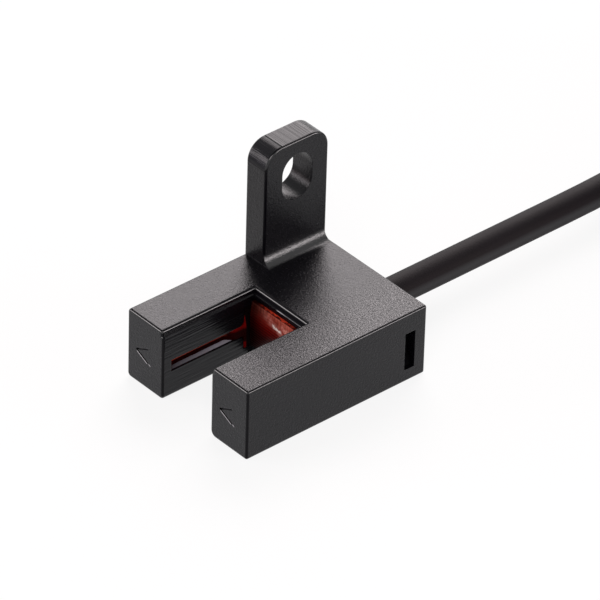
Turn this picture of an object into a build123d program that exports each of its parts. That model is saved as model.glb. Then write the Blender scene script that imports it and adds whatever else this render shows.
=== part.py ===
from build123d import *
import math
import os

# A fork sensor: a light barrier in a U-shaped housing with an upright mounting tab and a cable.
# Millimetres. The origin is the centre of the housing's underside. The prongs point along -Y,
# the cable leaves along +Y, and +Z is up.

# Housing
WIDTH = 14.9
LENGTH = 19.0
HEIGHT = 6.7
SLOT_WIDTH = 6.0
SLOT_DEPTH = 9.6
OUTER_WALL = 0.8
ROOF = 0.9
SLOT_WALL = 0.65
LIP_HEIGHT = 0.5
LIP_SIDE = 0.15
LIP_END = 0.2
LIP_FALL = 0.06
LIP_ROUND = 0.25
SOFT_EDGE = 0.2
LEFT_TOP_ROUND = 0.35
LEFT_FOOT_ROUND = 0.4
LEFT_INNER_FOOT_ROUND = 0.3
RIGHT_FOOT_ROUND = 0.6

# Mounting tab and its slotted hole
TAB_THICK = 2.4
TAB_LENGTH = 6.7
TAB_TOP = 17.55
TAB_CORNER = 1.75
TAB_FOOT_ROUND = 1.0
HOLE_WIDTH = 3.2
HOLE_LENGTH = 4.4
HOLE_HEIGHT = 14.05
HOLE_FROM_BACK = 3.3

# Light path through the slot walls
BEAM_HEIGHT = 3.03
BEAM_FROM_FRONT = 3.0
SLIT_HEIGHT = 1.12
SLIT_FROM_FRONT = 0.88
CORNER_FROM_END = 1.05
CORNER_ROUND = 0.5
CORNER_BELOW_ROOM = 0.5
BAR_FOOT = 1.2
BAR_BELOW_ROOM = 0.15
BAR_PROUD = 0.5
BAR_CROWN = 0.22
COVER_WALL = 0.6
COVER_FROM_FRONT = 1.1
BULGE_LENGTH = 1.3
BULGE_FROM_CORNER = 0.65

# Beam marks cut in the prong fronts
MARK_WIDTH = 0.14
MARK_DEPTH = 0.12
MARK_REACH = 1.4
MARK_RISE = 0.66
MARK_FROM_SIDE = 1.15
MARK_HEIGHT = 3.3

# Bottom cover and its two latches in the side windows
PLATE = 0.8
RIM = 0.5
WINDOW_FROM_BACK = 1.2
WINDOW_LENGTH = 1.07
WINDOW_FOOT = 1.2
WINDOW_TOP = 4.8
LATCH_THICK = 0.7
LATCH_HEIGHT = 4.6
TOOTH_REACH = 0.4
TOOTH_HEIGHT = 1.3
PEG = 0.9

# Circuit board and what is on it
BOARD_THICK = 0.6
BOARD_ABOVE = 0.9
BOARD_BACK_GAP = 1.23
BOARD_SIDE_GAP = 0.35
BOARD_FRONT_GAP = 0.4
PEG_INSET = 0.5
PEG_FROM_LEAD = 0.4
OPTIC_WIDE = 2.6
OPTIC_TALL = 3.0
LENS_RADIUS = 0.65
LENS_GAP = 0.08
OPTIC_GAP = 0.15
LEAD_WIDE = 0.4
LEAD_THICK = 0.25
LEAD_PITCH = 1.0
LED_SIZE = (1.6, 0.6, 0.8)
CHIP_SIZE = (3.0, 1.9, 0.8)
CHIP_LEG = (0.3, 0.45, 0.2)
CHIP_LEG_PITCH = 0.65
TRANSISTOR_SIZE = (1.3, 2.0, 0.9)
DIODE_SIZE = (1.25, 1.8, 0.8)
RESISTOR_SIZE = (0.5, 1.0, 0.35)
RESISTOR_PITCH = 0.72
CAPACITOR_SIZE = (0.8, 1.6, 0.7)
CAPACITOR_PITCH = 1.08
JOINT_RADIUS = 0.45
JOINT_HEIGHT = 0.4

# Cable, its cores and its fixing
CABLE = 2.6
CABLE_HEIGHT = 2.55
CABLE_LENGTH = 1000.0
JACKET_INSIDE = 1.1
CORE = 0.8
CORE_OFFSET = 0.43
CORE_PITCH = 1.05
CORE_LANDING = 1.0
CORE_STRAIGHT = 0.35
CORE_FAN = 1.0
CORE_LIFT = {-1: 0.2, 1: 0.5}
CORE_LEVEL = 0.5
CLAMP_WALL = 0.4
SEAL_WIDTH = 5.8
TIP = 0.5
TIP_LENGTH = 3.0
CORE_BARE_LENGTH = 12.0

# Coil of the put-away length
COIL_MIDDLE = 27.0
COIL_COLUMNS = 2
COIL_LAYERS = 6
COIL_FILL = 0.7
COIL_START = 202.0
TIE_THICK = 0.3
TIE_WIDE = 2.5
TIE_ANGLE = 150.0

# Clearances
FIT = 0.02
SNAP = 0.05
LAY = 0.05
TIE_EASE = 0.1

# Sizes that follow
SIDE = WIDTH / 2
FRONT = -LENGTH / 2
BACK = LENGTH / 2
SLOT_SIDE = SLOT_WIDTH / 2
SLOT_END = FRONT + SLOT_DEPTH
ROOM_SIDE = SIDE - OUTER_WALL
ROOM_FRONT = FRONT + OUTER_WALL
ROOM_BACK = BACK - OUTER_WALL
ROOM_TOP = HEIGHT - ROOF
BAR_TOP = ROOM_TOP - BAR_BELOW_ROOM
CORNER_TOP = ROOM_TOP - CORNER_BELOW_ROOM
ARM_SIDE = SLOT_SIDE + SLOT_WALL
END_WALL_BACK = SLOT_END + SLOT_WALL
ARM_OUT = ARM_SIDE + FIT + COVER_WALL
COVER_BACK = END_WALL_BACK + FIT + COVER_WALL
CORNER_FRONT = SLOT_END - CORNER_FROM_END
SLIT_FOOT = BEAM_HEIGHT - SLIT_HEIGHT / 2
SLIT_TOP = BEAM_HEIGHT + SLIT_HEIGHT / 2
TAB_INNER = -SIDE + TAB_THICK
TAB_FRONT = BACK - TAB_LENGTH
BOARD_TOP = ROOM_TOP - BOARD_ABOVE
BOARD_UNDER = BOARD_TOP - BOARD_THICK
BOARD_SIDE = ROOM_SIDE - BOARD_SIDE_GAP
BOARD_FRONT = COVER_BACK + BOARD_FRONT_GAP
WINDOW_BACK = BACK - WINDOW_FROM_BACK
WINDOW_FRONT = WINDOW_BACK - WINDOW_LENGTH
JACKET_END = ROOM_BACK - JACKET_INSIDE
BOARD_BACK = JACKET_END - BOARD_BACK_GAP
BOARD_Y = (BOARD_FRONT + BOARD_BACK) / 2
BEAM_Y = FRONT + BEAM_FROM_FRONT
OPTIC_BACK = ROOM_SIDE - OPTIC_GAP
OPTIC_FACE = ARM_OUT + LENS_GAP + LENS_RADIUS
LEAD_SIDE = (OPTIC_FACE + OPTIC_BACK) / 2
PAD_Y = BOARD_BACK - CORE_LANDING
COIL_OUTER_TURN = COIL_MIDDLE / 2 + (COIL_COLUMNS - 1) * CABLE / 2
COIL_INNER_TURN = COIL_MIDDLE / 2 - (COIL_COLUMNS - 1) * CABLE / 2
COIL_FLOOR = TIE_THICK + LAY
COIL_FIRST_LAYER = COIL_FLOOR + CABLE / 2
COIL_TOP_LAYER = COIL_FIRST_LAYER + (COIL_LAYERS - 1) * CABLE

# Route of the cable from its end in the housing to the coil, as chosen by hand: straight out of
# the back wall, then down to the surface and into the coil's outer turn
ROUTE = [
    (0.0, JACKET_END, CABLE_HEIGHT),
    (0.0, 36.0, CABLE_HEIGHT),
    (-1.1, 44.9, 2.1),
    (-3.09, 51.2, COIL_FIRST_LAYER),
    (-5.15, 56.3, COIL_FIRST_LAYER),
]
COIL_X = ROUTE[-1][0] - COIL_OUTER_TURN * math.cos(math.radians(COIL_START))
COIL_Y = ROUTE[-1][1] - COIL_OUTER_TURN * math.sin(math.radians(COIL_START))


def block(x0, x1, y0, y1, z0, z1):
    """A box between two corners."""
    size = Box(x1 - x0, y1 - y0, z1 - z0)
    return Pos((x0 + x1) / 2, (y0 + y1) / 2, (z0 + z1) / 2) * size


def pair(side, near, far):
    """The two x values of a piece that lies between near and far from the middle, on one side."""
    return (near, far) if side > 0 else (-far, -near)


def lengthwise(shape, x, z):
    """The edges of a shape that run along Y at one place of its outline."""
    edges = shape.edges().filter_by(Axis.Y)
    return [edge for edge in edges if abs(edge.center().X - x) < 0.01 and abs(edge.center().Z - z) < 0.01]


def save(name, shape):
    """Write one piece to its own file."""
    export_step(shape, "parts/" + name + ".step")


def outer_body():
    """The U-shaped block with its slot, its lip and its rounded edges, still solid."""
    outline = Rectangle(WIDTH, HEIGHT)
    for x, y, radius in (
        (-1, 1, LEFT_TOP_ROUND),
        (-1, -1, LEFT_FOOT_ROUND),
        (1, 1, SOFT_EDGE),
        (1, -1, SOFT_EDGE),
    ):
        corner = outline.vertices().sort_by_distance((x * SIDE, y * HEIGHT / 2, 0))[0]
        outline = fillet(corner, radius)
    front_view = Plane(origin=(0, 0, HEIGHT / 2), x_dir=(1, 0, 0), z_dir=(0, -1, 0))
    body = extrude(front_view * outline, amount=LENGTH / 2, both=True)
    body -= block(-SLOT_SIDE, SLOT_SIDE, FRONT - 1, SLOT_END, -1, HEIGHT + 1)
    body = fillet(lengthwise(body, SLOT_SIDE, 0), RIGHT_FOOT_ROUND)
    body = fillet(lengthwise(body, -SLOT_SIDE, 0), LEFT_INNER_FOOT_ROUND)
    body -= lip_cut()
    rims = [edge for side in (-1, 1) for edge in lengthwise(body, side * (SLOT_SIDE + LIP_SIDE), HEIGHT)]
    ends = body.edges().filter_by(Axis.X).filter_by(lambda edge: edge.center().Z > HEIGHT - FIT)
    rims += ends.sort_by_distance((0, SLOT_END + LIP_END, HEIGHT))[:1]
    body = fillet(rims, LIP_ROUND)
    fronts = body.faces().filter_by(Axis.Y).group_by(Axis.Y)[0]
    body = fillet(fronts.edges(), SOFT_EDGE)
    backs = body.faces().filter_by(Axis.Y).group_by(Axis.Y)[-1]
    return fillet(backs.edges(), SOFT_EDGE)


def lip_cut():
    """What is cut from the slot's upper rim: it stands back, and its ledge falls towards the slot."""
    rim = SLOT_SIDE + LIP_SIDE
    rim_end = SLOT_END + LIP_END
    ledge = HEIGHT - LIP_HEIGHT
    low = ledge - LIP_FALL
    above = HEIGHT + 1
    half = Polyline((0, above), (rim, above), (rim, ledge), (SLOT_SIDE, low), (0, low), close=True)
    side = extrude(make_face(Plane.XZ * half), amount=LENGTH, both=True)
    side &= block(0, WIDTH, FRONT - 1, SLOT_END, 0, above)
    end = Polyline((SLOT_END, above), (rim_end, above), (rim_end, ledge), (SLOT_END, low), close=True)
    side_view = Plane(origin=(0, 0, 0), x_dir=(0, 1, 0), z_dir=(1, 0, 0))
    return side + mirror(side, Plane.YZ) + extrude(make_face(side_view * end), amount=rim, both=True)


def tab():
    """The upright tab: rounded top corners, a round foot on its inner side and the slotted hole."""
    plate = block(-SIDE, TAB_INNER, TAB_FRONT, BACK, ROOM_TOP, TAB_TOP)
    plate = fillet(plate.edges().filter_by(Axis.X).group_by(Axis.Z)[-1], TAB_CORNER)
    outline = plate.faces().filter_by(Axis.X)
    rims = [e for f in outline for e in f.edges() if e.center().Z > HEIGHT]
    plate = fillet(rims, SOFT_EDGE)
    foot_out = TAB_INNER + TAB_FOOT_ROUND
    foot_top = HEIGHT + TAB_FOOT_ROUND
    foot = block(TAB_INNER, foot_out, TAB_FRONT, BACK - SOFT_EDGE, HEIGHT, foot_top)
    round_bar = Pos(foot_out, 0, foot_top) * Rot(90, 0, 0)
    foot -= round_bar * Cylinder(TAB_FOOT_ROUND, 4 * LENGTH)
    hole = SlotOverall(HOLE_LENGTH, HOLE_WIDTH)
    placed = Plane(origin=(0, BACK - HOLE_FROM_BACK, HOLE_HEIGHT), x_dir=(0, 0, 1), z_dir=(1, 0, 0)) * hole
    return plate + foot, extrude(placed, amount=WIDTH, both=True)


def light_openings():
    """What is cut from the slot's walls: a slit in each side, a wider corner and the bar's opening."""
    slit = Polyline(
        (FRONT + SLIT_FROM_FRONT, SLIT_FOOT),
        (CORNER_FRONT, SLIT_FOOT),
        (CORNER_FRONT, BAR_FOOT),
        (END_WALL_BACK, BAR_FOOT),
        (END_WALL_BACK, CORNER_TOP),
        (CORNER_FRONT, CORNER_TOP),
        (CORNER_FRONT, SLIT_TOP),
        (FRONT + SLIT_FROM_FRONT, SLIT_TOP),
        close=True,
    )
    side_view = Plane(origin=(0, 0, 0), x_dir=(0, 1, 0), z_dir=(1, 0, 0))
    face = make_face(side_view * slit)
    corners = [v for v in face.vertices() if abs(v.Y - CORNER_FRONT) < 0.01]
    lips = [v for v in corners if SLIT_FOOT - 0.01 < v.Z < SLIT_TOP + 0.01]
    face = fillet(lips, CORNER_ROUND)
    cut = extrude(face, amount=ARM_SIDE, both=True)
    return cut + block(-SLOT_SIDE, SLOT_SIDE, SLOT_END - 1, END_WALL_BACK, BAR_FOOT, BAR_TOP + SNAP)


def beam_marks():
    """One shallow chevron in each prong front, pointing at the slot's beam."""
    marks = []
    for left in (-SIDE, SLOT_SIDE):
        tip = (left + MARK_FROM_SIDE, MARK_HEIGHT)
        for way in (-1, 1):
            end = (tip[0] + MARK_REACH, tip[1] + way * MARK_RISE)
            angle = math.degrees(math.atan2(end[1] - tip[1], end[0] - tip[0]))
            groove = SlotCenterToCenter(math.dist(tip, end), MARK_WIDTH, rotation=angle)
            middle = ((tip[0] + end[0]) / 2, FRONT, (tip[1] + end[1]) / 2)
            face = Plane(origin=middle, x_dir=(1, 0, 0), z_dir=(0, -1, 0)) * groove
            marks.append(extrude(face, amount=MARK_DEPTH, both=True))
    return marks


def board_spots():
    """The four places that hold the board, near its corners."""
    ys = (BOARD_FRONT + PEG_INSET, BOARD_BACK - PEG_INSET)
    front_x = LEAD_SIDE - LEAD_THICK / 2 - PEG_FROM_LEAD - PEG / 2
    back_x = BOARD_SIDE - PEG_INSET
    return [(side * x, y) for side in (-1, 1) for x, y in ((front_x, ys[0]), (back_x, ys[1]))]


def housing():
    """The black moulded housing, open below, with the tab moulded on."""
    plate, hole = tab()
    body = outer_body() + plate - hole
    for side in (-1, 1):
        x0, x1 = pair(side, ARM_SIDE, ROOM_SIDE)
        body -= block(x0, x1, ROOM_FRONT, ROOM_BACK, -1, ROOM_TOP)
        x0, x1 = pair(side, ARM_SIDE, SIDE - RIM)
        body -= block(x0, x1, FRONT + RIM, BACK - RIM, -1, PLATE)
        x0, x1 = pair(side, ROOM_SIDE - 1, SIDE + 1)
        body -= block(x0, x1, WINDOW_FRONT, WINDOW_BACK, WINDOW_FOOT, WINDOW_TOP)
    body -= block(-ARM_SIDE, ARM_SIDE, END_WALL_BACK, ROOM_BACK, -1, ROOM_TOP)
    body -= block(-ARM_SIDE, ARM_SIDE, END_WALL_BACK, BACK - RIM, -1, PLATE)
    body -= light_openings()
    body -= Pos(0, ROOM_BACK, CABLE_HEIGHT) * Rot(90, 0, 0) * Cylinder(CABLE / 2 + SNAP, 4 * OUTER_WALL)
    for mark in beam_marks():
        body -= mark
    for x, y in board_spots():
        body += block(x - PEG / 2, x + PEG / 2, y - PEG / 2, y + PEG / 2, BOARD_TOP, ROOM_TOP + ROOF / 2)
    return body


def slit_cover():
    """The red clear insert: an arm behind each slot wall and the crowned bar at the slot's end."""
    bar_front = SLOT_END - BAR_PROUD
    bar_middle = (BAR_FOOT + SNAP + BAR_TOP) / 2
    side_view = Plane(origin=(0, 0, 0), x_dir=(0, 1, 0), z_dir=(1, 0, 0))
    crown = ThreePointArc(
        (bar_front + BAR_CROWN, BAR_FOOT + SNAP),
        (bar_front, bar_middle),
        (bar_front + BAR_CROWN, BAR_TOP),
    )
    rest = Polyline(
        (bar_front + BAR_CROWN, BAR_TOP),
        (COVER_BACK, BAR_TOP),
        (COVER_BACK, BAR_FOOT + SNAP),
        (bar_front + BAR_CROWN, BAR_FOOT + SNAP),
    )
    bar = extrude(make_face(side_view * (crown + rest)), amount=SLOT_SIDE - FIT, both=True)
    cover = bar + block(-ARM_OUT, ARM_OUT, END_WALL_BACK + FIT, COVER_BACK, PLATE, BAR_TOP)
    for side in (-1, 1):
        x0, x1 = pair(side, ARM_SIDE + FIT, ARM_OUT)
        cover += block(x0, x1, FRONT + COVER_FROM_FRONT, COVER_BACK, PLATE, CORNER_TOP)
        x0, x1 = pair(side, SLOT_SIDE - 2 * FIT, ARM_SIDE + 2 * FIT)
        foot, top = BAR_FOOT + SNAP, CORNER_TOP - SNAP
        cover += block(x0, x1, CORNER_FRONT + SNAP, END_WALL_BACK + 2 * FIT, foot, top)
        cover += slit_bulge(side)
        groove = Pos(side * (SLOT_SIDE - FIT), bar_front - SNAP, HEIGHT / 2)
        cover -= groove * Cylinder(2 * SNAP, HEIGHT)
    return cover


def slit_bulge(side):
    """The part of an arm that swells through the slit until it is flush with the slot's side."""
    deep = ARM_SIDE + 2 * FIT
    flush = SLOT_SIDE + FIT
    end = CORNER_FRONT + 2 * SNAP
    full = CORNER_FRONT - BULGE_FROM_CORNER
    start = full - BULGE_LENGTH
    curve = Spline((side * deep, start), (side * flush, full), tangents=[(0, 1), (0, 1)])
    rest = Polyline((side * flush, full), (side * flush, end), (side * deep, end), (side * deep, start))
    face = make_face(curve + rest)
    return Pos(0, 0, SLIT_FOOT + FIT) * extrude(face, amount=SLIT_HEIGHT - 2 * FIT, dir=(0, 0, 1))


def bottom_cover():
    """The U-shaped plate that closes the housing, with its pegs and its two latches."""
    out = SIDE - RIM - SNAP
    plate = block(-out, out, FRONT + RIM + SNAP, BACK - RIM - SNAP, 0, PLATE)
    gap = ARM_SIDE + SNAP
    plate -= block(-gap, gap, FRONT, END_WALL_BACK + SNAP, -1, PLATE + 1)
    for x, y in board_spots():
        plate += block(x - PEG / 2, x + PEG / 2, y - PEG / 2, y + PEG / 2, PLATE / 2, BOARD_UNDER)
    for side in (-1, 1):
        plate += latch(side)
    return plate


def latch(side):
    """A springy post behind a side window, with a tooth that catches the window's lower edge."""
    face = ROOM_SIDE - SNAP
    x0, x1 = pair(side, face - LATCH_THICK, face)
    y0, y1 = WINDOW_FRONT + SNAP, WINDOW_BACK - SNAP
    post = block(x0, x1, y0, y1, PLATE / 2, LATCH_HEIGHT)
    foot = WINDOW_FOOT + SNAP
    end_view = Plane(origin=(0, y1, 0), x_dir=(1, 0, 0), z_dir=(0, -1, 0))
    wedge = Polyline(
        (side * (face - SNAP), foot),
        (side * (face + SNAP + TOOTH_REACH), foot),
        (side * (face - SNAP), foot + TOOTH_HEIGHT),
        close=True,
    )
    return post + extrude(make_face(end_view * wedge), amount=y1 - y0, dir=(0, -1, 0))


def circuit_board():
    """The bare board, held between the housing's bosses and the cover's pegs."""
    return block(-BOARD_SIDE, BOARD_SIDE, BOARD_FRONT, BOARD_BACK, BOARD_UNDER, BOARD_TOP)


def optic(side):
    """A side-looking emitter or receiver: a small block with a domed lens facing the slot."""
    x0, x1 = pair(side, OPTIC_FACE, OPTIC_BACK)
    y0, y1 = BEAM_Y - OPTIC_WIDE / 2, BEAM_Y + OPTIC_WIDE / 2
    z0, z1 = BEAM_HEIGHT - OPTIC_TALL / 2, BEAM_HEIGHT + OPTIC_TALL / 2
    lens = Pos(side * OPTIC_FACE, BEAM_Y, BEAM_HEIGHT) * Sphere(LENS_RADIUS)
    return block(x0, x1, y0, y1, z0, z1) + lens


def optic_leads(side):
    """Two flat leads from an optic along its prong and up to the board."""
    leads = []
    start = BEAM_Y + OPTIC_WIDE / 2
    x = side * LEAD_SIDE
    for step in (0, 1):
        z = BEAM_HEIGHT + (step - 0.5) * LEAD_PITCH
        end = BOARD_FRONT + PEG_INSET + (1 - step) * LEAD_PITCH
        lead = Pos(x, (start + end) / 2, z) * Box(LEAD_THICK, end - start, LEAD_WIDE)
        rise = BOARD_UNDER - z
        lead += Pos(x, end - LEAD_WIDE / 2, z + rise / 2) * Box(LEAD_THICK, LEAD_WIDE, rise)
        leads.append(lead)
    return leads


def below_board(size, x, y):
    """A part that hangs from the board's underside."""
    return Pos(x, y, BOARD_UNDER - size[2] / 2) * Box(*size)


def above_board(size, x, y):
    """A part that stands on the board's upper side."""
    return Pos(x, y, BOARD_TOP + size[2] / 2) * Box(*size)


def amplifier_chip():
    """The sensor's integrated circuit on the board's upper side, with three legs on each side."""
    body = above_board(CHIP_SIZE, 0, BOARD_Y)
    reach = CHIP_SIZE[0] / 2 + CHIP_LEG[1] / 2 - SNAP
    for side in (-1, 1):
        for step in (-1, 0, 1):
            leg = (CHIP_LEG[1], CHIP_LEG[0], CHIP_LEG[2])
            body += above_board(leg, side * reach, BOARD_Y + step * CHIP_LEG_PITCH)
    return body


def core_places():
    """For each core its colour, its place in the jacket and the x of its pad on the board."""
    return [
        ("brown", -1, -1, -1.5 * CORE_PITCH),
        ("black", -1, 1, -0.5 * CORE_PITCH),
        ("white", 1, 1, 0.5 * CORE_PITCH),
        ("blue", 1, -1, 1.5 * CORE_PITCH),
    ]


def inner_core(across, up, pad_x):
    """One insulated core from the jacket's end, fanned out and up to its pad under the board."""
    x = across * CORE_OFFSET
    z = CABLE_HEIGHT + up * CORE_OFFSET
    level = BOARD_UNDER - CORE / 2 - FIT
    line = Polyline(
        (x, JACKET_END, z),
        (x, JACKET_END - CORE_STRAIGHT, z),
        (pad_x, JACKET_END - CORE_FAN, z + CORE_LIFT[up] * (level - z)),
        (pad_x, PAD_Y + CORE_LEVEL, level),
        (pad_x, PAD_Y, level),
    )
    profile = Plane(origin=line @ 0, z_dir=line % 0) * Circle(CORE / 2)
    return sweep(profile, path=line, transition=Transition.ROUND)


def solder_joints():
    """The cones of solder at the four core ends."""
    joints = []
    for _, _, _, pad_x in core_places():
        cone = Cone(bottom_radius=JOINT_RADIUS / 2, top_radius=JOINT_RADIUS, height=JOINT_HEIGHT)
        joints.append(Pos(pad_x, PAD_Y - JOINT_RADIUS, BOARD_UNDER - JOINT_HEIGHT / 2) * cone)
    return joints


def cable_clamp():
    """The crimped sleeve that keeps the jacket from being pulled through the back wall."""
    sleeve = Cylinder(CABLE / 2 + FIT + CLAMP_WALL, JACKET_INSIDE - 2 * SNAP)
    sleeve -= Cylinder(CABLE / 2 + FIT, JACKET_INSIDE)
    return Pos(0, ROOM_BACK - JACKET_INSIDE / 2, CABLE_HEIGHT) * Rot(90, 0, 0) * sleeve


def cable_seal():
    """The block of sealing resin around the clamp, on the cover and against the back wall."""
    seal_front = ROOM_BACK - JACKET_INSIDE + SNAP
    seal = block(-SEAL_WIDTH / 2, SEAL_WIDTH / 2, seal_front, ROOM_BACK, PLATE, ROOM_TOP - SNAP)
    bore = Cylinder(CABLE / 2 + CLAMP_WALL + 2 * FIT, 4 * JACKET_INSIDE)
    return seal - Pos(0, ROOM_BACK, CABLE_HEIGHT) * Rot(90, 0, 0) * bore


def corner_radii(points):
    """For each inner point of a route the radius that its two runs allow."""
    radii = []
    for before, here, after in zip(points, points[1:], points[2:]):
        into = Vector(*here) - Vector(*before)
        out = Vector(*after) - Vector(*here)
        half = math.radians(into.get_angle(out) / 2)
        radii.append(0.45 * min(into.length, out.length) / math.tan(half))
    return radii


def cable_run():
    """The cable from its end in the housing to the coil: straight runs joined by arcs."""
    radii = corner_radii(ROUTE)
    print("cable radii:", [round(radius, 1) for radius in radii])
    line = FilletPolyline(*ROUTE, radius=radii)
    profile = Plane(origin=ROUTE[0], z_dir=line % 0) * Circle(CABLE / 2)
    tube = sweep(profile, path=line)
    print("cable run:", round(line.length, 2), "volume over section:", round(tube.volume / profile.area, 2))
    return tube, line.length


def last_turn_angle(run_length):
    """How far the cable's last turn goes round, in degrees, with its whole length used up."""
    layer = math.tau * COIL_MIDDLE / 2 * COIL_COLUMNS
    free = run_length - (BACK - JACKET_END)
    left = CABLE_LENGTH - free - layer * COIL_LAYERS + math.tau * COIL_OUTER_TURN
    print("length in the coil:", round(CABLE_LENGTH - free, 1), "last turn:", round(left, 1))
    return math.degrees(left / COIL_OUTER_TURN)


def ring_sector(inner, outer, foot, top, start, angle):
    """A piece of a flat ring round the coil's middle, from one angle on, turning clockwise."""
    section = Plane.XZ * Pos((inner + outer) / 2, (foot + top) / 2) * Rectangle(outer - inner, top - foot)
    return Rot(0, 0, start - angle) * revolve(section, Axis.Z, revolution_arc=angle)


def cable_coil(end_angle):
    """The closed outer shape of the wound cable, with a place for each of its two ends."""
    section = Sketch()
    for column in range(COIL_COLUMNS):
        for layer in range(COIL_LAYERS):
            x = COIL_INNER_TURN + column * CABLE
            section += Pos(x, COIL_FIRST_LAYER + layer * CABLE) * Circle(CABLE / 2)
    core_wide = (COIL_COLUMNS - 1 + COIL_FILL) * CABLE
    core_tall = (COIL_LAYERS - 1 + COIL_FILL) * CABLE
    section += Pos(COIL_MIDDLE / 2, COIL_FLOOR + COIL_LAYERS * CABLE / 2) * Rectangle(core_wide, core_tall)
    ring = revolve(Plane.XZ * section, Axis.Z)
    inside = COIL_OUTER_TURN - CABLE / 2 - LAY
    outside = COIL_OUTER_TURN + CABLE
    way_in = math.degrees(math.acos(COIL_OUTER_TURN / (COIL_OUTER_TURN + CABLE + 2 * LAY)))
    seam = math.degrees(FIT / COIL_OUTER_TURN)
    layer_top = COIL_FLOOR + CABLE + LAY
    ring -= ring_sector(inside, outside, -CABLE, layer_top, COIL_START + way_in, way_in + seam)
    floor = COIL_TOP_LAYER - CABLE / 2
    rest = 360 - end_angle
    ring -= ring_sector(inside, outside, floor, floor + 2 * CABLE, COIL_START - end_angle, rest)
    return Pos(COIL_X, COIL_Y, 0) * ring


def arc_tube(radius, height, diameter, start, angle):
    """A round bar bent along the coil."""
    section = Plane.XZ * Pos(radius, height) * Circle(diameter / 2)
    return Pos(COIL_X, COIL_Y, 0) * Rot(0, 0, start - angle) * revolve(section, Axis.Z, revolution_arc=angle)


def end_cores(end_angle):
    """The bared cores at the cable's free end, on the turn below, each with its tinned tip."""
    start = COIL_START - end_angle
    low = COIL_TOP_LAYER - CABLE / 2 + CORE / 2 + LAY
    core_turn = math.degrees(CORE_BARE_LENGTH / COIL_OUTER_TURN)
    tip_turn = math.degrees(TIP_LENGTH / COIL_OUTER_TURN)
    cores = {}
    tips = []
    for colour, across, up, _ in core_places():
        radius = COIL_OUTER_TURN + across * CORE_OFFSET
        height = low + (up + 1) * CORE_OFFSET
        cores[colour] = arc_tube(radius, height, CORE, start, core_turn)
        tips.append(arc_tube(radius, height, TIP, start - core_turn, tip_turn))
    return cores, tips


def coil_tie():
    """The flat strap round the coil's turns."""
    wide = COIL_COLUMNS * CABLE + 2 * TIE_EASE
    tall = COIL_LAYERS * CABLE + 2 * LAY
    hole = RectangleRounded(wide, tall, CABLE / 2)
    band = RectangleRounded(wide + 2 * TIE_THICK, tall + 2 * TIE_THICK, CABLE / 2 + TIE_THICK)
    strap = extrude(Plane.XZ * (band - hole), amount=TIE_WIDE / 2, both=True)
    middle = TIE_THICK + tall / 2
    return Pos(COIL_X, COIL_Y, 0) * Rot(0, 0, TIE_ANGLE) * Pos(COIL_MIDDLE / 2, 0, middle) * strap


os.makedirs("parts", exist_ok=True)

save("housing", housing())
save("slit_cover", slit_cover())
save("bottom_cover", bottom_cover())
save("circuit_board", circuit_board())
save("emitter", optic(-1))
save("receiver", optic(1))
save("emitter_leads", Compound(optic_leads(-1)))
save("receiver_leads", Compound(optic_leads(1)))

led_y = BOARD_FRONT + LED_SIZE[1] / 2
core_side = 2 * CORE_PITCH
chip_side = CHIP_SIZE[0] / 2 + CHIP_LEG[1]
save("indicator_led", below_board(LED_SIZE, 0, led_y))
save("amplifier_chip", amplifier_chip())
save("output_transistor", below_board(TRANSISTOR_SIZE, -core_side - TRANSISTOR_SIZE[0], BOARD_Y))
save("protection_diode", below_board(DIODE_SIZE, core_side + DIODE_SIZE[0], BOARD_Y))
resistor_places = [-chip_side - (step + 0.7) * RESISTOR_PITCH for step in range(3)]
save("resistors", Compound([above_board(RESISTOR_SIZE, x, BOARD_Y) for x in resistor_places]))
capacitor_places = [chip_side + (step + 0.5) * CAPACITOR_PITCH for step in range(2)]
save("capacitors", Compound([above_board(CAPACITOR_SIZE, x, BOARD_Y) for x in capacitor_places]))
save("solder_joints", Compound(solder_joints()))
for colour, across, up, pad_x in core_places():
    save("core_" + colour, inner_core(across, up, pad_x))
save("cable_clamp", cable_clamp())
save("cable_seal", cable_seal())

tube, run_length = cable_run()
save("cable_run", tube)
end_angle = last_turn_angle(run_length)
save("cable_coil", cable_coil(end_angle))
save("coil_tie", coil_tie())
cores, tips = end_cores(end_angle)
for colour, core in cores.items():
    save("end_core_" + colour, core)
save("core_tips", Compound(tips))
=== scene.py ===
# %% [markdown]
# # A fork sensor, dressed in Blender
# A fork sensor is a small light barrier. A U-shaped black housing holds an infrared emitter in one
# prong and a receiver in the other, and whatever passes through the slot breaks the beam. A tab
# with a slotted hole screws it to a machine, and a four-core cable leaves the back wall.
#
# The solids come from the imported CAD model, in metres. The housing is 14.9 mm wide, 19 mm long and
# 6.7 mm high, and its tab is 17.55 mm high. This file gives those solids their finishes, lays the
# cable as one smooth line, and adds the light and the camera.

import math

import bpy
from mathutils import Matrix, Vector


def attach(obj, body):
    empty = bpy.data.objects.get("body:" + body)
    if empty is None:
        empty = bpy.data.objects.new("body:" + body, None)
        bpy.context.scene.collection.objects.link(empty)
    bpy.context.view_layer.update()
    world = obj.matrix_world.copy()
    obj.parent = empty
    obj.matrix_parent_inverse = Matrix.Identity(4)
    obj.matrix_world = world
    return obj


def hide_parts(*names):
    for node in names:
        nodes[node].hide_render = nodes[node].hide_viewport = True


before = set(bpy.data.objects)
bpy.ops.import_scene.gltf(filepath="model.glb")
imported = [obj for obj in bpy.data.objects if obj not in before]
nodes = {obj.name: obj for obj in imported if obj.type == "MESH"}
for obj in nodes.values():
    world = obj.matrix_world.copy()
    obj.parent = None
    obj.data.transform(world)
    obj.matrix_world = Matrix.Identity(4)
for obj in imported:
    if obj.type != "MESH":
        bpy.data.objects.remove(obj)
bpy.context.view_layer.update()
print("pieces from the CAD model:", len(nodes))

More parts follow.
